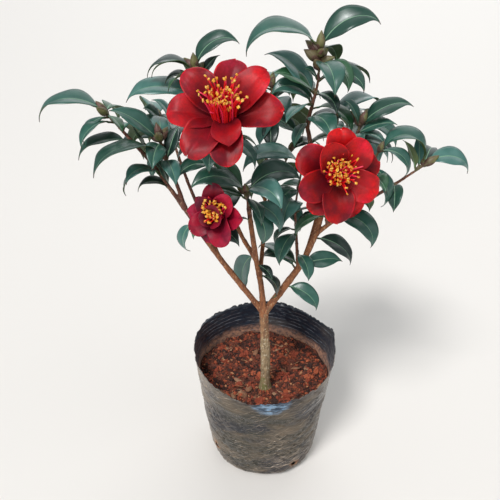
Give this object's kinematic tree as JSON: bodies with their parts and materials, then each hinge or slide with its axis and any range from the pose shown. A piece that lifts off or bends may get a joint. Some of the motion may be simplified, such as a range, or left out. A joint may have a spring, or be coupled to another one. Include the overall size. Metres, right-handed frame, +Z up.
{
  "type": "camellia shrub in a grow bag",
  "caption": "Young flowering camellia shrub with a forked bare trunk, open boughs and glossy pointed leaves, standing in a soft black film bag of soil.",
  "frame": {"origin": "middle of the bag's flat underside, on the ground that it stands on", "axes": "+Z up along the plant's height, -Y the front where the blooms face, +X to the right as the front is seen"},
  "size_m": [0.3731, 0.228, 0.4975],
  "materials": {
    "leaf": "glossy leathery leaf, dark teal green above and paler beneath",
    "petal": "soft satin petal, deep dark red, with red filaments and yellow anthers",
    "bark": "smooth thin bark with fine ridges and pale flecks",
    "soil": "loose granular red-brown soil, dry on top",
    "bag": "soft black film, creased, semi-glossy, dusted with soil"
  },
  "bodies": {
    "root": {"grow_bag": "bag", "soil": "soil", "trunk": "bark", "bough_back": "bark", "bough_bloom": "bark", "bough_leader": "bark", "bough_left": "bark", "bough_left_back": "bark", "bough_left_inner": "bark", "bough_left_outer": "bark", "bough_middle": "bark", "bough_right": "bark", "bough_right_back": "bark", "bough_right_mid": "bark", "bough_right_outer": "bark", "foliage_back": "leaf", "foliage_back_low": "leaf", "foliage_bloom_large": "petal", "foliage_bloom_right": "petal", "foliage_bloom_small": "petal", "foliage_centre": "leaf", "foliage_centre_right": "leaf", "foliage_leader": "leaf", "foliage_left_back": "leaf", "foliage_left_inner": "leaf", "foliage_left_tip": "leaf", "foliage_right_back": "leaf", "foliage_right_inner": "leaf", "foliage_right_low": "leaf", "foliage_right_mid": "leaf", "foliage_right_tip": "leaf", "foliage_top_left": "leaf"}
  },
  "joints": []
}
